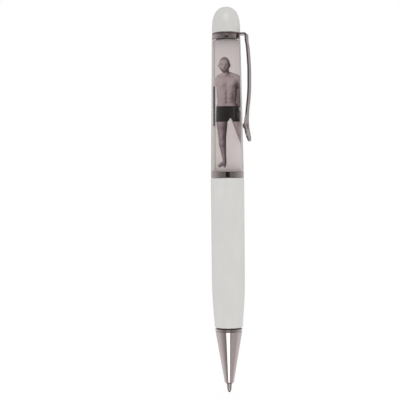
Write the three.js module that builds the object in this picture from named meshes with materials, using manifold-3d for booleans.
// A twist-action ballpoint pen with a tipping picture window, in millimetres, point down, +Z up.
// The clear upper half is an oil-filled tube. Inside it a black shutter slides between a front picture
// film and a rear picture card, and fills or clears the cut-out in the film when the pen is tipped.
// Turning the lower half against the upper half draws the refill in along a helical slot.
// Heights are worked out upwards from the writing point, and the whole pen is then moved so that the
// underside of the clip's shoulder, where a pocket's edge stops, is at the origin.

import * as THREE from "three";
import { mergeVertices } from "three/addons/utils/BufferGeometryUtils.js";
import Module from "manifold-3d";

const wasm = await Module();
wasm.setup();

// Facets around a full turn
const OUTER_FACETS = 40;
const INNER_FACETS = 24;
const SMALL_FACETS = 16;

// Clearances
const SEAM = 0.05; // between pieces that are stacked end to end
const FIT = 0.05; // on the radius between pieces that are pressed or glued together
const RUNNING = 0.1; // on the radius between pieces that turn or slide in each other

// Refill
const BALL_R = 0.5;
const BALL_PLAY = 0.03;
const TIP_LIP_R = 0.7;
const TIP_SHOULDER_R = 0.97;
const TIP_LIP_LOW = 0.62; // height of the lip that is rolled over the ball
const TIP_LIP_HEIGHT = 0.4;
const TIP_EDGE = 0.1;
const TIP_TAPER = 3.6;
const TIP_STRAIGHT = 1; // above the taper
const TIP_SEAT_LIFTS = [35, 60]; // degrees, facets of the ball's seat
const TIP_SPIGOT = 3;
const REFILL_TUBE_R = 1.175;
const REFILL_TUBE_WALL = 0.3;
const REFILL_LENGTH = 67;
const REFILL_REACH = 3.3; // how far the point stands out of the nose
const REFILL_STROKE = 5;
const TWIST_DEGREES = 180;

// Refill carrier and its drive
const CARRIER_FRONT = 27;
const CARRIER_R = 2.45;
const CARRIER_END_WALL = 1.7;
const CARRIER_PLAY_IN_NOSE = 0.3;
const END_PLAY = 0.3;
const LUG_WIDTH = 1.2;
const LUG_HEIGHT = 1.5;
const GUIDE_HEAD = 4.2; // guide sleeve above its slots
const LUG_ROOT = 0.3; // how deep the lugs are rooted in the carrier's wall
const LUG_TIP_INSET = 0.2; // from the guide sleeve's outside
const CAM_WALL = 0.9;
const CAM_FLANGE_HEIGHT = 1;
const CAM_TAIL = 6; // cam sleeve below its slots
const CAM_CUP_HEIGHT = 3.9; // the wide end that is glued in the clear tube
const GUIDE_WALL = 0.75;
const SLOT_PLAY = 0.15; // on each side of a lug
const SLOT_STEPS = 14;
const SLOT_CUT_MARGIN = 0.2; // how far the cutter passes both faces

// Nose
const NOSE_LENGTH = 18.95;
const NOSE_TOP_R = 4.86;
const NOSE_END_R = 1.78;
const NOSE_ROUND_WIDTH = 0.3;
const NOSE_ROUND_HEIGHT = 0.6;
const NOSE_ROUND_STEPS = 3;
const NOSE_HOLE_PLAY = 0.15;
const NOSE_EDGE = 0.12;
const NOSE_BORE_STEP = 0.4; // the bore opens from the spring's room to the carrier's between these
const NOSE_BORE_OPEN = 2; // heights above the cone's top
const NOSE_SPIGOT_WALL = 0.85;
const NOSE_SPIGOT_LENGTH = 7.6;
const SPRING_SEAT_ABOVE_END = 7.75;
const GROOVE_HEIGHT = 0.35;
const GROOVE_DEPTH = 0.5;
const TRIM_RING_HEIGHT = 0.6;
const TRIM_RING_R = 4.95;
const RING_EDGE = 0.12; // bevel on the plated rings
const BUSH_WALL = 0.45;
const BUSH_LENGTH = 7.3;

// Return spring
const SPRING_WIRE_R = 0.17;
const SPRING_COIL_R = 1.72;
const SPRING_TURNS = 11;
const SPRING_STEPS_PER_TURN = 10;
const SPRING_SIDES = 5;
const SPRING_PLAY = 0.25;
const SPRING_END_EASE = 0.35; // how far the end turns are closed, 0 to 1

// Barrel
const BARREL_LENGTH = 54;
const BARREL_TOP_R = 6.08;
const BARREL_WAIST_R = 6.01; // where the taper to the nose starts
const BARREL_END_R = 5.08;
const BARREL_WAIST_ABOVE_END = 17;
const BARREL_EDGE_HEIGHT = 0.25;
const BARREL_EDGE_WIDTH = 0.15;
const BARREL_CURVE_LOW = [0.36, 0.3]; // taper's lower control point: out from its end, share of its height
const BARREL_CURVE_HIGH = [0.05, 0.6]; // upper one: in from the waist, share of the taper's height
const BARREL_CURVE_TOP = [0.02, 0.6]; // above the waist: in from the top radius, share of that height
const BARREL_SHOULDER_WALL = 1.1;

// Joint between the two halves
const SPIGOT_R = 4.85;
const SPIGOT_LENGTH = 7;
const CENTRE_RING_R = 5.98;
const CENTRE_RING_HEIGHT = 2.3;
const TWIST_SEAL_R = 0.19;
const TWIST_SEAL_DROP = 5; // below the centre ring's top

// Clear tube
const TUBE_LENGTH = 48;
const TUBE_BOTTOM_R = 5.93;
const TUBE_TOP_R = 5.23;
const TUBE_BORE_R = 3.9;
const TUBE_NECK_R = 4.4;
const TUBE_NECK_HEIGHT = 1;
const UPPER_RING_R = 5.2;
const UPPER_RING_HEIGHT = 1.45;
const UPPER_RING_WEB = 0.3;

// Plugs and their seals
const LOWER_PLUG_HEIGHT = 2.8;
const UPPER_PLUG_DROP = 0.5; // below the tube's top edge
const UPPER_PLUG_CHAMFER = 0.65;
const HUB_R = 2.3; // the upper plug's hub, which goes up through the ring and the washer into the cap
const HUB_RISE = 2.5;
const UPPER_SEAL_R = 0.2;
const LOWER_SEAL_R = 0.3;
const SEAL_SQUEEZE = 0.02;
const SEAL_SIDES = 8;

// Picture window: the pack of film, shutter and card is turned to face the user
const WINDOW_TURN = 15; // degrees from the clip's own side view
const FILM_WIDTH = 6.85;
const FILM_THICK = 0.25;
const FILM_OFFSET = 0.325; // the film lies a little to the right of the shutter
const CARD_WIDTH = 7.1;
const CARD_THICK = 0.3;
const SHUTTER_WIDTH = 7.3;
const SHUTTER_THICK = 0.35;
const SHUTTER_HEIGHT = 14.2;
const SHUTTER_TRAVEL = 12.4;
const SHUTTER_REST_DROP = 30.85; // from the film's top edge down to the resting shutter's lower edge
const CHAMBER_DEPTH = 0.65; // between film and card
const SPACER_WIDTH = 5.6;
const LAYER_GAP = 0.06;

// Cut-out in the film, drawn as seen from the front
const CUTOUT_TOP_DROP = 23.8; // from the film's top edge
const CUTOUT_HEIGHT = 5.65;
const CUTOUT_LEFT = -3.1; // from the film's own middle line
const CUTOUT_RIGHT = 3.15;
const CUTOUT_WAIST_INSET = 0.3;
const CUTOUT_NOTCH_AT = 0.6;
const CUTOUT_NOTCH_HALF = 0.7;
const CUTOUT_NOTCH_RISE = 1.4;

// Cap and clip
const CLIP_THICK = 0.6;
const CLIP_WIDTH = 4.2;
const CLIP_PAD_DROP = 0.1; // the shoulder's underside lies this far below the washer's
const CLIP_PAD_GAP = 0.2; // between the upper ring and the shoulder's flat
const CLIP_SHOULDER = 1.6;
const CLIP_SPLIT = 0.1;
const CLIP_WASHER_INSET = 0.1; // inside the upper ring's edge
const CLIP_NECK_ROOT = 0.8; // how deep the shoulder's neck is rooted in the washer
const CLIP_BEND = 0.75;
const CLIP_BEND_LINE = [[0, 0], [0.3, 0.06], [0.62, 0.3]]; // out and down, as shares of the bend
const CLIP_BEND_END = [0.15, 1.1]; // in from the arm's first point and down, as shares of the bend
const CLIP_TOUCH_GAP = 0.15;
const CLIP_NUB_R = 1.2;
const CLIP_NUB_STEPS = 4;
const STUD_R = 1.5;
const STUD_LENGTH = 7.6;
const STUD_IN_PLUG = 2.9;
const CAP_HEIGHT = 9.7;
const CAP_R = 5.13;
const CAP_WALL = 1.2;
const CAP_BOSS_R = 2.6;
const CAP_CORE_HEIGHT = 4.3;
const CAP_STRAIGHT = 2.14; // straight side below the dome
const CAP_SIDE_POINT = [0.12, 6.28]; // the dome's lower control point: in from the side, above the rim
const CAP_CROWN_R = 3.8; // the dome's upper control point, level with its top

// The arm's middle line: how far below the shoulder, how far out from the tube, and how wide
const CLIP_LINE = [
  [2.4, 2.42, 1],
  [4.6, 2.72, 1],
  [8.9, 2.96, 1],
  [12.1, 3.1, 1],
  [16.2, 3.04, 1],
  [19.8, 2.91, 1],
  [23.5, 2.58, 0.97],
  [26.2, 2.2, 0.95],
  [28.9, 1.92, 1],
  [30.7, 1.7, 1.28],
  [32.9, 1.62, 1.55],
  [35.5, 1.97, 1.65],
  [37.1, 2.3, 1.4],
  [38.1, 2.5, 1.08],
  [38.65, 2.6, 0.55],
];

// Heights above the writing point
const noseEnd = REFILL_REACH;
const noseTop = noseEnd + NOSE_LENGTH;
const trimRingLow = noseTop + GROOVE_HEIGHT + SEAM;
const bushFlangeLow = trimRingLow + TRIM_RING_HEIGHT + SEAM;
const barrelLow = bushFlangeLow + GROOVE_HEIGHT + SEAM;
const barrelTop = barrelLow + BARREL_LENGTH;
const centreRingLow = barrelTop + RUNNING;
const tubeLow = centreRingLow + CENTRE_RING_HEIGHT + SEAM;
const spigotLow = tubeLow - SPIGOT_LENGTH;
const tubeTop = tubeLow + TUBE_LENGTH;
const neckTop = tubeTop + TUBE_NECK_HEIGHT;
const upperRingLow = tubeTop + SEAM;
const upperRingTop = upperRingLow + UPPER_RING_HEIGHT;
const clipLow = upperRingTop + SEAM;
const clipTop = clipLow + CLIP_THICK;
const capLow = clipTop + SEAM;
const capTop = capLow + CAP_HEIGHT;
const padLow = clipLow - CLIP_PAD_DROP;

const refillTop = REFILL_LENGTH;
const carrierTop = refillTop + END_PLAY + CARRIER_END_WALL;
const guideTop = spigotLow - RUNNING - SEAM;
const guideSlotTop = guideTop - GUIDE_HEAD;
const lugMiddle = guideSlotTop - SLOT_PLAY * 2 - REFILL_STROKE - LUG_HEIGHT / 2;
const camCupLow = spigotLow + SEAM;
const camTop = Math.max(camCupLow + CAM_CUP_HEIGHT, carrierTop + REFILL_STROKE + END_PLAY);
const camFlangeLow = lugMiddle - LUG_HEIGHT / 2 - CAM_TAIL - CAM_FLANGE_HEIGHT;
const guideLow = camFlangeLow + CAM_FLANGE_HEIGHT + RUNNING;
const springLow = noseEnd + SPRING_SEAT_ABOVE_END + SEAM;
const springTop = CARRIER_FRONT - SEAM;

// Radii that follow from the pieces inside
const carrierBoreR = REFILL_TUBE_R + FIT;
const camBoreR = CARRIER_R + RUNNING;
const camR = camBoreR + CAM_WALL;
const guideBoreR = camR + RUNNING;
const guideR = guideBoreR + GUIDE_WALL;
const barrelBoreR = guideR + FIT;
const spigotBoreR = SPIGOT_R + RUNNING;
const lugReachR = guideR - LUG_TIP_INSET;
const noseSpigotBoreR = CARRIER_R + CARRIER_PLAY_IN_NOSE;
const noseSpigotR = noseSpigotBoreR + NOSE_SPIGOT_WALL;
const bushBoreR = noseSpigotR + FIT;
const bushR = bushBoreR + BUSH_WALL;
const springBoreR = SPRING_COIL_R + SPRING_WIRE_R + SPRING_PLAY;
const plugR = TUBE_BORE_R - FIT;
const studBoreR = STUD_R + FIT;
const ringBoreR = TUBE_NECK_R + FIT;
const hubHoleR = HUB_R + FIT * 2;

// Heights inside the tube
const plugTopSeat = camTop + SEAM;
const lowerPlugTop = plugTopSeat + LOWER_PLUG_HEIGHT;
const upperPlugLow = tubeTop - UPPER_PLUG_DROP;
const upperPlugTop = neckTop - SEAM;
const hubTop = upperPlugTop + HUB_RISE;
const filmLow = lowerPlugTop + SEAM;
const filmTop = upperPlugLow - SEAM;
const shutterLow = filmTop - SHUTTER_REST_DROP;
const shutterTop = shutterLow + SHUTTER_HEIGHT;

// Finishes
const whiteGloss = new THREE.MeshStandardMaterial({ color: 0xd6d3d0, roughness: 0.25, metalness: 0 });
const chrome = new THREE.MeshStandardMaterial({ color: 0xb4aeae, roughness: 0.15, metalness: 1 });
const clearAcrylic = new THREE.MeshStandardMaterial({ color: 0xe8e6e4, roughness: 0.05 });
clearAcrylic.transparent = true;
clearAcrylic.opacity = 0.3;
const steel = new THREE.MeshStandardMaterial({ color: 0x9c9698, roughness: 0.3, metalness: 1 });
const brass = new THREE.MeshStandardMaterial({ color: 0xb89a5a, roughness: 0.35, metalness: 1 });
const rubber = new THREE.MeshStandardMaterial({ color: 0x2a2828, roughness: 0.8, metalness: 0 });
const plainPlastic = new THREE.MeshStandardMaterial({ color: 0xcfc9c4, roughness: 0.5, metalness: 0 });
const greyPlastic = new THREE.MeshStandardMaterial({ color: 0x8d8886, roughness: 0.5, metalness: 0 });
const blackFilm = new THREE.MeshStandardMaterial({ color: 0x2b2727, roughness: 0.5, metalness: 0 });
const printedFilm = new THREE.MeshStandardMaterial({ color: 0xc4bab8, roughness: 0.45, metalness: 0 });

const turn = 2 * Math.PI;

// One closed surface with shared corners and its faces pointing out
function closed(geometry) {
  const bare = geometry.index ? geometry.toNonIndexed() : geometry.clone();
  bare.deleteAttribute("normal");
  bare.deleteAttribute("uv");
  const merged = mergeVertices(bare, 1e-4);
  const place = merged.attributes.position;
  const corner = [new THREE.Vector3(), new THREE.Vector3(), new THREE.Vector3()];
  const kept = [];
  let volume = 0;
  for (let i = 0; i < merged.index.count; i += 3) {
    const [a, b, c] = [merged.index.getX(i), merged.index.getX(i + 1), merged.index.getX(i + 2)];
    if (a === b || b === c || c === a) continue;
    corner[0].fromBufferAttribute(place, a);
    corner[1].fromBufferAttribute(place, b);
    corner[2].fromBufferAttribute(place, c);
    volume += corner[0].dot(corner[1].clone().cross(corner[2]));
    kept.push([a, b, c]);
  }
  const facing = volume < 0 ? kept.map(([a, b, c]) => [a, c, b]) : kept;
  merged.setIndex(facing.flat());
  return merged;
}

function solidOf(geometry) {
  const body = closed(geometry);
  const vertProperties = new Float32Array(body.attributes.position.array);
  const triVerts = new Uint32Array(body.index.array);
  return new wasm.Manifold(new wasm.Mesh({ numProp: 3, vertProperties, triVerts }));
}

function geometryOf(solid) {
  const mesh = solid.getMesh();
  const geometry = new THREE.BufferGeometry();
  geometry.setAttribute("position", new THREE.BufferAttribute(new Float32Array(mesh.vertProperties), 3));
  geometry.setIndex(Array.from(mesh.triVerts));
  return geometry;
}

function cut(geometry, cutters) {
  const solid = cutters.reduce((rest, cutter) => rest.subtract(solidOf(cutter)), solidOf(geometry));
  return geometryOf(solid);
}

function join(geometry, additions) {
  const solid = additions.reduce((whole, addition) => whole.add(solidOf(addition)), solidOf(geometry));
  return geometryOf(solid);
}

// A turned piece: a closed outline of [radius, height] about the pen's axis
function turned(outline, facets) {
  const points = outline.map(([radius, height]) => new THREE.Vector2(radius, height));
  const onAxis = outline[0][0] === 0 && outline[outline.length - 1][0] === 0;
  if (!onAxis) points.push(points[0].clone());
  return closed(new THREE.LatheGeometry(points, facets).rotateX(Math.PI / 2));
}

function sleeve(low, high, innerR, outerR, facets) {
  return turned([[innerR, low], [outerR, low], [outerR, high], [innerR, high]], facets);
}

// A ring with bevelled outer edges
function platedRing(innerR, outerR, low, high) {
  return turned([
    [innerR, low],
    [outerR - RING_EDGE, low],
    [outerR, low + RING_EDGE],
    [outerR, high - RING_EDGE],
    [outerR - RING_EDGE, high],
    [innerR, high],
  ], OUTER_FACETS);
}

// A block given by its lowest and highest corner
function block([x0, y0, z0], [x1, y1, z1]) {
  const box = new THREE.BoxGeometry(x1 - x0, y1 - y0, z1 - z0);
  return box.translate((x0 + x1) / 2, (y0 + y1) / 2, (z0 + z1) / 2);
}

function sealRing(radius, wireR, height) {
  const ring = new THREE.TorusGeometry(radius, wireR, SEAL_SIDES, INNER_FACETS);
  return closed(ring.translate(0, 0, height));
}

// A closed skin over rings of corners, with a flat end on the first ring and the last
function skin(rings) {
  const sides = rings[0].length;
  const places = rings.flat();
  const faces = [];
  for (let r = 0; r + 1 < rings.length; r += 1) {
    for (let s = 0; s < sides; s += 1) {
      const here = r * sides + s;
      const beside = r * sides + ((s + 1) % sides);
      faces.push(here, beside, beside + sides, here, beside + sides, here + sides);
    }
  }
  const last = (rings.length - 1) * sides;
  for (let s = 1; s + 1 < sides; s += 1) {
    faces.push(0, s + 1, s, last, last + s, last + s + 1);
  }
  const geometry = new THREE.BufferGeometry();
  geometry.setAttribute("position", new THREE.Float32BufferAttribute(places.flat(), 3));
  geometry.setIndex(faces);
  return closed(geometry);
}

function named(name, geometry, material) {
  const mesh = new THREE.Mesh(geometry, material);
  mesh.name = name;
  return mesh;
}

// Refill: the ball in its rolled lip, the tapered tip and the ink tube
function writingBall() {
  const ball = new THREE.SphereGeometry(BALL_R, SMALL_FACETS, SMALL_FACETS / 2);
  return closed(ball.rotateX(Math.PI / 2).translate(0, 0, BALL_R));
}

function refillTip() {
  const seatR = BALL_R + BALL_PLAY;
  const lipHole = Math.sqrt(seatR ** 2 - (TIP_LIP_LOW - BALL_R) ** 2);
  const low = TIP_LIP_LOW;
  const shoulder = low + TIP_TAPER;
  const seat = [[lipHole, low]];
  for (const lift of TIP_SEAT_LIFTS) {
    const angle = THREE.MathUtils.degToRad(lift);
    seat.unshift([seatR * Math.cos(angle), BALL_R + seatR * Math.sin(angle)]);
  }
  const spigotR = REFILL_TUBE_R - REFILL_TUBE_WALL - FIT;
  const outline = [
    [0, BALL_R + seatR],
    ...seat,
    [TIP_LIP_R, low + TIP_EDGE],
    [TIP_LIP_R + TIP_EDGE / 2, low + TIP_EDGE + TIP_LIP_HEIGHT],
    [TIP_SHOULDER_R, shoulder - TIP_STRAIGHT],
    [TIP_SHOULDER_R, shoulder],
    [spigotR, shoulder],
    [spigotR, shoulder + TIP_SPIGOT],
    [0, shoulder + TIP_SPIGOT],
  ];
  return turned(outline, SMALL_FACETS);
}

function refillTube() {
  const low = TIP_LIP_LOW + TIP_TAPER + SEAM;
  return sleeve(low, refillTop, REFILL_TUBE_R - REFILL_TUBE_WALL, REFILL_TUBE_R, SMALL_FACETS);
}

// The carrier holds the refill's rear and is driven by two lugs
function lug(side) {
  const root = CARRIER_R - LUG_ROOT;
  const low = lugMiddle - LUG_HEIGHT / 2;
  const bar = block([root, -LUG_WIDTH / 2, low], [lugReachR, LUG_WIDTH / 2, low + LUG_HEIGHT]);
  return bar.rotateZ(side * Math.PI);
}

function refillCarrier() {
  const body = turned([
    [carrierBoreR, CARRIER_FRONT],
    [CARRIER_R, CARRIER_FRONT],
    [CARRIER_R, carrierTop],
    [0, carrierTop],
    [0, refillTop + END_PLAY],
    [carrierBoreR, refillTop + END_PLAY],
  ], INNER_FACETS);
  return join(body, [lug(0), lug(1)]);
}

// A helical cutter: the room that one lug sweeps in the cam sleeve over the whole twist
function helixCutter(side) {
  const halfAngle = Math.asin((LUG_WIDTH / 2 + SLOT_PLAY) / camBoreR);
  const sweep = THREE.MathUtils.degToRad(TWIST_DEGREES);
  const climbPerRadian = REFILL_STROKE / sweep;
  const half = LUG_HEIGHT / 2 + SLOT_PLAY + climbPerRadian * halfAngle;
  const [innerR, outerR] = [camBoreR - SLOT_CUT_MARGIN, camR + SLOT_CUT_MARGIN];
  const rings = [];
  for (let step = 0; step <= SLOT_STEPS; step += 1) {
    const along = -halfAngle + (sweep + 2 * halfAngle) * (step / SLOT_STEPS);
    const angle = along + side * Math.PI;
    const climb = THREE.MathUtils.clamp(along, 0, sweep) * climbPerRadian;
    const corner = (radius, offset) => [
      radius * Math.cos(angle),
      radius * Math.sin(angle),
      lugMiddle + climb + offset,
    ];
    rings.push([corner(innerR, -half), corner(outerR, -half), corner(outerR, half), corner(innerR, half)]);
  }
  return skin(rings);
}

function camSleeve() {
  const cupR = TUBE_BORE_R - FIT;
  const flangeR = guideR - FIT;
  const body = turned([
    [camBoreR, camFlangeLow],
    [flangeR, camFlangeLow],
    [flangeR, camFlangeLow + CAM_FLANGE_HEIGHT],
    [camR, camFlangeLow + CAM_FLANGE_HEIGHT],
    [camR, camCupLow],
    [cupR, camCupLow],
    [cupR, camTop],
    [camBoreR, camTop],
  ], INNER_FACETS);
  return cut(body, [helixCutter(0), helixCutter(1)]);
}

function guideSleeve() {
  const low = lugMiddle - LUG_HEIGHT / 2 - SLOT_PLAY * 2;
  const reach = guideR * 2;
  const halfWidth = LUG_WIDTH / 2 + SLOT_PLAY;
  const slots = block([-reach, -halfWidth, low], [reach, halfWidth, guideSlotTop]);
  return cut(sleeve(guideLow, guideTop, guideBoreR, guideR, INNER_FACETS), [slots]);
}

// Nose: the plated cone screws into a brass bush in the barrel, with a trim ring between two grooves
function noseCone() {
  const neckR = NOSE_TOP_R - GROOVE_DEPTH;
  const holeR = Math.max(REFILL_TUBE_R, TIP_SHOULDER_R) + NOSE_HOLE_PLAY;
  const seat = noseEnd + SPRING_SEAT_ABOVE_END;
  const spigotTop = noseTop + NOSE_SPIGOT_LENGTH;
  const end = [];
  for (let step = 0; step <= NOSE_ROUND_STEPS; step += 1) {
    const angle = Math.PI / 2 * step / NOSE_ROUND_STEPS;
    end.push([
      NOSE_END_R - NOSE_ROUND_WIDTH * (1 - Math.sin(angle)),
      noseEnd + NOSE_ROUND_HEIGHT * (1 - Math.cos(angle)),
    ]);
  }
  const outline = [
    [holeR, noseEnd],
    ...end,
    [NOSE_TOP_R, noseTop - NOSE_EDGE],
    [NOSE_TOP_R - NOSE_EDGE, noseTop],
    [neckR, noseTop],
    [neckR, noseTop + GROOVE_HEIGHT],
    [noseSpigotR, noseTop + GROOVE_HEIGHT],
    [noseSpigotR, spigotTop],
    [noseSpigotBoreR, spigotTop],
    [noseSpigotBoreR, noseTop + NOSE_BORE_OPEN],
    [springBoreR, noseTop + NOSE_BORE_STEP],
    [springBoreR, seat],
    [holeR, seat],
  ];
  return turned(outline, OUTER_FACETS);
}

function trimRing() {
  return platedRing(bushBoreR, TRIM_RING_R, trimRingLow, trimRingLow + TRIM_RING_HEIGHT);
}

function barrelBush() {
  const flangeR = TRIM_RING_R - GROOVE_DEPTH;
  const flangeTop = bushFlangeLow + GROOVE_HEIGHT;
  return turned([
    [bushBoreR, bushFlangeLow],
    [flangeR, bushFlangeLow],
    [flangeR, flangeTop],
    [bushR, flangeTop],
    [bushR, flangeTop + BUSH_LENGTH],
    [bushBoreR, flangeTop + BUSH_LENGTH],
  ], INNER_FACETS);
}

function returnSpring() {
  const rise = springTop - springLow - 2 * SPRING_WIRE_R;
  const steps = SPRING_TURNS * SPRING_STEPS_PER_TURN;
  const rings = [];
  for (let step = 0; step <= steps; step += 1) {
    const along = step / steps;
    // closed end turns: the climb starts and stops gently
    const eased = along - Math.sin(turn * along) / turn * SPRING_END_EASE;
    const angle = turn * SPRING_TURNS * along;
    const height = springLow + SPRING_WIRE_R + rise * eased;
    const ring = [];
    for (let side = 0; side < SPRING_SIDES; side += 1) {
      const around = turn * side / SPRING_SIDES;
      const radius = SPRING_COIL_R + SPRING_WIRE_R * Math.cos(around);
      ring.push([
        radius * Math.cos(angle),
        radius * Math.sin(angle),
        height + SPRING_WIRE_R * Math.sin(around),
      ]);
    }
    rings.push(ring);
  }
  return skin(rings);
}

// Barrel shell: straight above, drawn in to the nose along a smooth shoulder
function barrelShell() {
  const waist = barrelLow + BARREL_WAIST_ABOVE_END;
  const [lowOut, lowShare] = BARREL_CURVE_LOW;
  const [highIn, highShare] = BARREL_CURVE_HIGH;
  const [topIn, topShare] = BARREL_CURVE_TOP;
  const shoulder = new THREE.CubicBezierCurve(
    new THREE.Vector2(BARREL_END_R, barrelLow + BARREL_EDGE_HEIGHT),
    new THREE.Vector2(BARREL_END_R + lowOut, barrelLow + BARREL_WAIST_ABOVE_END * lowShare),
    new THREE.Vector2(BARREL_WAIST_R - highIn, barrelLow + BARREL_WAIST_ABOVE_END * highShare),
    new THREE.Vector2(BARREL_WAIST_R, waist),
  ).getPoints(8).map((point) => [point.x, point.y]);
  const upper = new THREE.QuadraticBezierCurve(
    new THREE.Vector2(BARREL_WAIST_R, waist),
    new THREE.Vector2(BARREL_TOP_R - topIn, waist + (barrelTop - waist) * topShare),
    new THREE.Vector2(BARREL_TOP_R, barrelTop - BARREL_EDGE_HEIGHT),
  ).getPoints(5).map((point) => [point.x, point.y]);
  const bushPocketTop = bushFlangeLow + GROOVE_HEIGHT + BUSH_LENGTH + SEAM;
  const outline = [
    [bushR + FIT, barrelLow],
    [BARREL_END_R - BARREL_EDGE_WIDTH, barrelLow],
    ...shoulder,
    ...upper.slice(1),
    [BARREL_TOP_R - BARREL_EDGE_WIDTH, barrelTop],
    [spigotBoreR, barrelTop],
    [spigotBoreR, spigotLow - RUNNING],
    [barrelBoreR, spigotLow - RUNNING],
    [barrelBoreR, bushPocketTop + BARREL_SHOULDER_WALL],
    [bushR + FIT, bushPocketTop],
  ];
  return turned(outline, OUTER_FACETS);
}

// The clear tube turns in the barrel on its spigot and carries the upper ring on its neck
function tubeRadiusAt(height) {
  const share = (height - tubeLow) / (tubeTop - tubeLow);
  return TUBE_BOTTOM_R + (TUBE_TOP_R - TUBE_BOTTOM_R) * share;
}

function clearTube() {
  const sealZ = tubeLow - TWIST_SEAL_DROP;
  const grooveR = spigotBoreR - 2 * TWIST_SEAL_R - FIT;
  const grooveHalf = TWIST_SEAL_R + FIT;
  const outline = [
    [TUBE_BORE_R, spigotLow],
    [SPIGOT_R, spigotLow],
    [SPIGOT_R, sealZ - grooveHalf],
    [grooveR, sealZ - grooveHalf],
    [grooveR, sealZ + grooveHalf],
    [SPIGOT_R, sealZ + grooveHalf],
    [SPIGOT_R, tubeLow],
    [TUBE_BOTTOM_R, tubeLow],
    [TUBE_TOP_R, tubeTop],
    [TUBE_NECK_R, tubeTop],
    [TUBE_NECK_R, neckTop],
    [TUBE_BORE_R, neckTop],
  ];
  return turned(outline, OUTER_FACETS);
}

function twistSeal() {
  return sealRing(spigotBoreR - TWIST_SEAL_R - SEAL_SQUEEZE, TWIST_SEAL_R, tubeLow - TWIST_SEAL_DROP);
}

function centreRing() {
  return platedRing(SPIGOT_R + FIT, CENTRE_RING_R, centreRingLow, centreRingLow + CENTRE_RING_HEIGHT);
}

function upperRing() {
  const webLow = upperRingTop - UPPER_RING_WEB;
  return turned([
    [ringBoreR, upperRingLow],
    [UPPER_RING_R - RING_EDGE, upperRingLow],
    [UPPER_RING_R, upperRingLow + RING_EDGE],
    [UPPER_RING_R, upperRingTop - RING_EDGE],
    [UPPER_RING_R - RING_EDGE, upperRingTop],
    [hubHoleR, upperRingTop],
    [hubHoleR, webLow],
    [ringBoreR, webLow],
  ], OUTER_FACETS);
}

// Plugs: each carries a seal ring in a groove against the tube's bore
function plugSeal(wireR, height) {
  return sealRing(TUBE_BORE_R - wireR - SEAL_SQUEEZE, wireR, height);
}

function grooved(wireR, sealZ) {
  const half = wireR + FIT;
  const floorR = TUBE_BORE_R - 2 * wireR - SEAL_SQUEEZE - FIT;
  return [
    [plugR, sealZ - half],
    [floorR, sealZ - half],
    [floorR, sealZ + half],
    [plugR, sealZ + half],
  ];
}

const lowerSealZ = (plugTopSeat + lowerPlugTop) / 2;
const upperSealZ = (upperPlugLow + UPPER_PLUG_CHAMFER + upperPlugTop) / 2;

function lowerPlug() {
  const outline = [
    [0, plugTopSeat],
    [plugR, plugTopSeat],
    ...grooved(LOWER_SEAL_R, lowerSealZ),
    [plugR, lowerPlugTop],
    [0, lowerPlugTop],
  ];
  return turned(outline, INNER_FACETS);
}

function upperPlug() {
  const studHoleLow = hubTop - STUD_IN_PLUG - END_PLAY;
  const outline = [
    [0, upperPlugLow],
    [plugR - UPPER_PLUG_CHAMFER, upperPlugLow],
    [plugR, upperPlugLow + UPPER_PLUG_CHAMFER],
    ...grooved(UPPER_SEAL_R, upperSealZ),
    [plugR, upperPlugTop],
    [HUB_R, upperPlugTop],
    [HUB_R, hubTop],
    [studBoreR, hubTop],
    [studBoreR, studHoleLow],
    [0, studHoleLow],
  ];
  return turned(outline, INNER_FACETS);
}

// Picture pack, facing -Y before it is turned: film in front, shutter in the chamber, card behind
const chamberFront = -CHAMBER_DEPTH / 2;
const chamberBack = CHAMBER_DEPTH / 2;

function pictureFilm() {
  const half = FILM_WIDTH / 2;
  const front = chamberFront - FILM_THICK;
  const sheet = block([FILM_OFFSET - half, front, filmLow], [FILM_OFFSET + half, chamberFront, filmTop]);
  const top = filmTop - CUTOUT_TOP_DROP;
  const low = top - CUTOUT_HEIGHT;
  const cutout = new THREE.Shape([
    new THREE.Vector2(CUTOUT_LEFT + CUTOUT_WAIST_INSET, top),
    new THREE.Vector2(CUTOUT_RIGHT, top),
    new THREE.Vector2(CUTOUT_RIGHT, low),
    new THREE.Vector2(CUTOUT_NOTCH_AT + CUTOUT_NOTCH_HALF, low),
    new THREE.Vector2(CUTOUT_NOTCH_AT, low + CUTOUT_NOTCH_RISE),
    new THREE.Vector2(CUTOUT_NOTCH_AT - CUTOUT_NOTCH_HALF, low),
    new THREE.Vector2(CUTOUT_LEFT, low),
  ]);
  const depth = FILM_THICK * 3;
  const cutter = new THREE.ExtrudeGeometry(cutout, { depth, bevelEnabled: false });
  cutter.rotateX(Math.PI / 2).translate(FILM_OFFSET, chamberFront + FILM_THICK, 0);
  return cut(sheet, [cutter]);
}

function pictureCard() {
  const half = CARD_WIDTH / 2;
  return block([-half, chamberBack, filmLow], [half, chamberBack + CARD_THICK, filmTop]);
}

function shutterSlide() {
  const [half, halfThick] = [SHUTTER_WIDTH / 2, SHUTTER_THICK / 2];
  return block([-half, -halfThick, shutterLow], [half, halfThick, shutterTop]);
}

function spacer(low, high) {
  const [half, halfThick] = [SPACER_WIDTH / 2, CHAMBER_DEPTH / 2 - LAYER_GAP];
  return block([FILM_OFFSET - half, -halfThick, low], [FILM_OFFSET + half, halfThick, high]);
}

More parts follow.
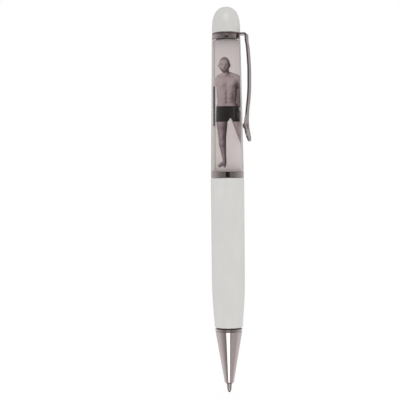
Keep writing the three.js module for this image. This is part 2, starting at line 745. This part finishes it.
// Cap: a moulded dome, cored out around the boss that takes the stud and rests on the plug's hub
function domeCap() {
  const [sideIn, sideHeight] = CAP_SIDE_POINT;
  const dome = new THREE.CubicBezierCurve(
    new THREE.Vector2(CAP_R, capLow + CAP_STRAIGHT),
    new THREE.Vector2(CAP_R - sideIn, capLow + sideHeight),
    new THREE.Vector2(CAP_CROWN_R, capTop),
    new THREE.Vector2(0, capTop),
  ).getPoints(11).map((point) => [point.x, point.y]);
  dome[dome.length - 1][0] = 0;
  const core = capLow + CAP_CORE_HEIGHT;
  const bossLow = hubTop + SEAM;
  const studHoleTop = hubTop - STUD_IN_PLUG + STUD_LENGTH + END_PLAY;
  const outline = [
    [0, studHoleTop],
    [studBoreR, studHoleTop],
    [studBoreR, bossLow],
    [CAP_BOSS_R, bossLow],
    [CAP_BOSS_R, core],
    [CAP_R - CAP_WALL, core],
    [CAP_R - CAP_WALL, capLow],
    [CAP_R, capLow],
    ...dome,
  ];
  return turned(outline, OUTER_FACETS);
}

function capStud() {
  const low = hubTop - STUD_IN_PLUG;
  return turned([[0, low], [STUD_R, low], [STUD_R, low + STUD_LENGTH], [0, low + STUD_LENGTH]], SMALL_FACETS);
}

// Clip: a washer under the cap, a shoulder that stands out of it, and the sprung arm
const padStart = UPPER_RING_R + CLIP_PAD_GAP;
const padEnd = padStart + CLIP_SHOULDER;
const armStart = padEnd + CLIP_SPLIT;
const seatPoint = new THREE.Vector3((padStart + padEnd) / 2, 0, padLow);

function clipPlate() {
  const washer = sleeve(clipLow, clipTop, hubHoleR, UPPER_RING_R - CLIP_WASHER_INSET, OUTER_FACETS);
  const half = CLIP_WIDTH / 2;
  const middle = (padStart + padEnd) / 2;
  const neck = block([UPPER_RING_R - CLIP_NECK_ROOT, -half, clipLow], [middle, half, clipTop]);
  const pad = block([padStart, -half, padLow], [padEnd, half, clipTop]);
  return join(washer, [neck, pad]);
}

function clipArm() {
  const middle = (padLow + clipTop) / 2;
  const thickness = clipTop - padLow;
  const arm = CLIP_LINE.map(([drop, standoff, width]) => {
    const height = padLow - drop;
    return [tubeRadiusAt(Math.min(height, tubeTop)) + standoff, height, width];
  });
  const [endIn, endDown] = CLIP_BEND_END;
  const stations = [
    ...CLIP_BEND_LINE.map(([out, down]) => [armStart + CLIP_BEND * out, middle - CLIP_BEND * down, 1]),
    [arm[0][0] - CLIP_BEND * endIn, middle - CLIP_BEND * endDown, 1],
    ...arm,
  ];
  const rings = stations.map(([radius, height, width], i) => {
    const before = stations[Math.max(i - 1, 0)];
    const after = stations[Math.min(i + 1, stations.length - 1)];
    const along = new THREE.Vector2(after[0] - before[0], after[1] - before[1]).normalize();
    if (i === 0) along.set(1, 0);
    const halfThick = (i < 2 ? thickness : CLIP_THICK) / 2;
    const [outX, outZ] = [-along.y * halfThick, along.x * halfThick];
    const half = CLIP_WIDTH * width / 2;
    return [
      [radius - outX, -half, height - outZ],
      [radius + outX, -half, height + outZ],
      [radius + outX, half, height + outZ],
      [radius - outX, half, height - outZ],
    ];
  });
  const [drop, standoff] = CLIP_LINE.reduce((near, point) => (point[1] < near[1] ? point : near));
  const nubZ = padLow - drop;
  const nubDepth = standoff - CLIP_TOUCH_GAP;
  const arc = [];
  for (let step = 0; step <= CLIP_NUB_STEPS; step += 1) {
    const angle = Math.PI / 2 * step / CLIP_NUB_STEPS;
    arc.push([CLIP_NUB_R * Math.cos(angle), nubDepth * Math.sin(angle)]);
  }
  arc[arc.length - 1][0] = 0;
  const nub = turned([[0, 0], ...arc], SMALL_FACETS);
  nub.rotateY(-Math.PI / 2).translate(tubeRadiusAt(nubZ) + standoff, 0, nubZ);
  return join(skin(rings), [nub]);
}

// The whole pen
const upperHalf = new THREE.Group();
upperHalf.add(
  named("dome_cap", domeCap(), whiteGloss),
  named("cap_stud", capStud(), steel),
  named("clip_plate", clipPlate(), chrome),
  named("upper_ring", upperRing(), chrome),
  named("upper_plug", upperPlug(), greyPlastic),
  named("upper_seal", plugSeal(UPPER_SEAL_R, upperSealZ), rubber),
  named("clear_tube", clearTube(), clearAcrylic),
  named("lower_plug", lowerPlug(), greyPlastic),
  named("lower_seal", plugSeal(LOWER_SEAL_R, lowerSealZ), rubber),
  named("centre_ring", centreRing(), chrome),
  named("cam_sleeve", camSleeve(), plainPlastic),
  named("twist_seal", twistSeal(), rubber),
);

const pictureWindow = new THREE.Group();
pictureWindow.rotation.z = THREE.MathUtils.degToRad(WINDOW_TURN);
pictureWindow.add(
  named("picture_film", pictureFilm(), printedFilm),
  named("picture_card", pictureCard(), printedFilm),
  named("upper_spacer", spacer(shutterTop + SHUTTER_TRAVEL + SEAM, filmTop), plainPlastic),
  named("lower_spacer", spacer(filmLow, shutterLow - SEAM), plainPlastic),
  named("shutter_slide", shutterSlide(), blackFilm),
);

const lowerHalf = new THREE.Group();
lowerHalf.add(
  named("barrel_shell", barrelShell(), whiteGloss),
  named("guide_sleeve", guideSleeve(), plainPlastic),
  named("barrel_bush", barrelBush(), brass),
  named("trim_ring", trimRing(), chrome),
  named("nose_cone", noseCone(), chrome),
  named("return_spring", returnSpring(), steel),
);

const refill = new THREE.Group();
refill.add(
  named("refill_carrier", refillCarrier(), plainPlastic),
  named("refill_tube", refillTube(), brass),
  named("refill_tip", refillTip(), steel),
  named("writing_ball", writingBall(), steel),
);

const pen = new THREE.Group();
pen.position.copy(seatPoint).negate();
pen.add(upperHalf, pictureWindow, lowerHalf, refill, named("clip_arm", clipArm(), chrome));

export default pen;
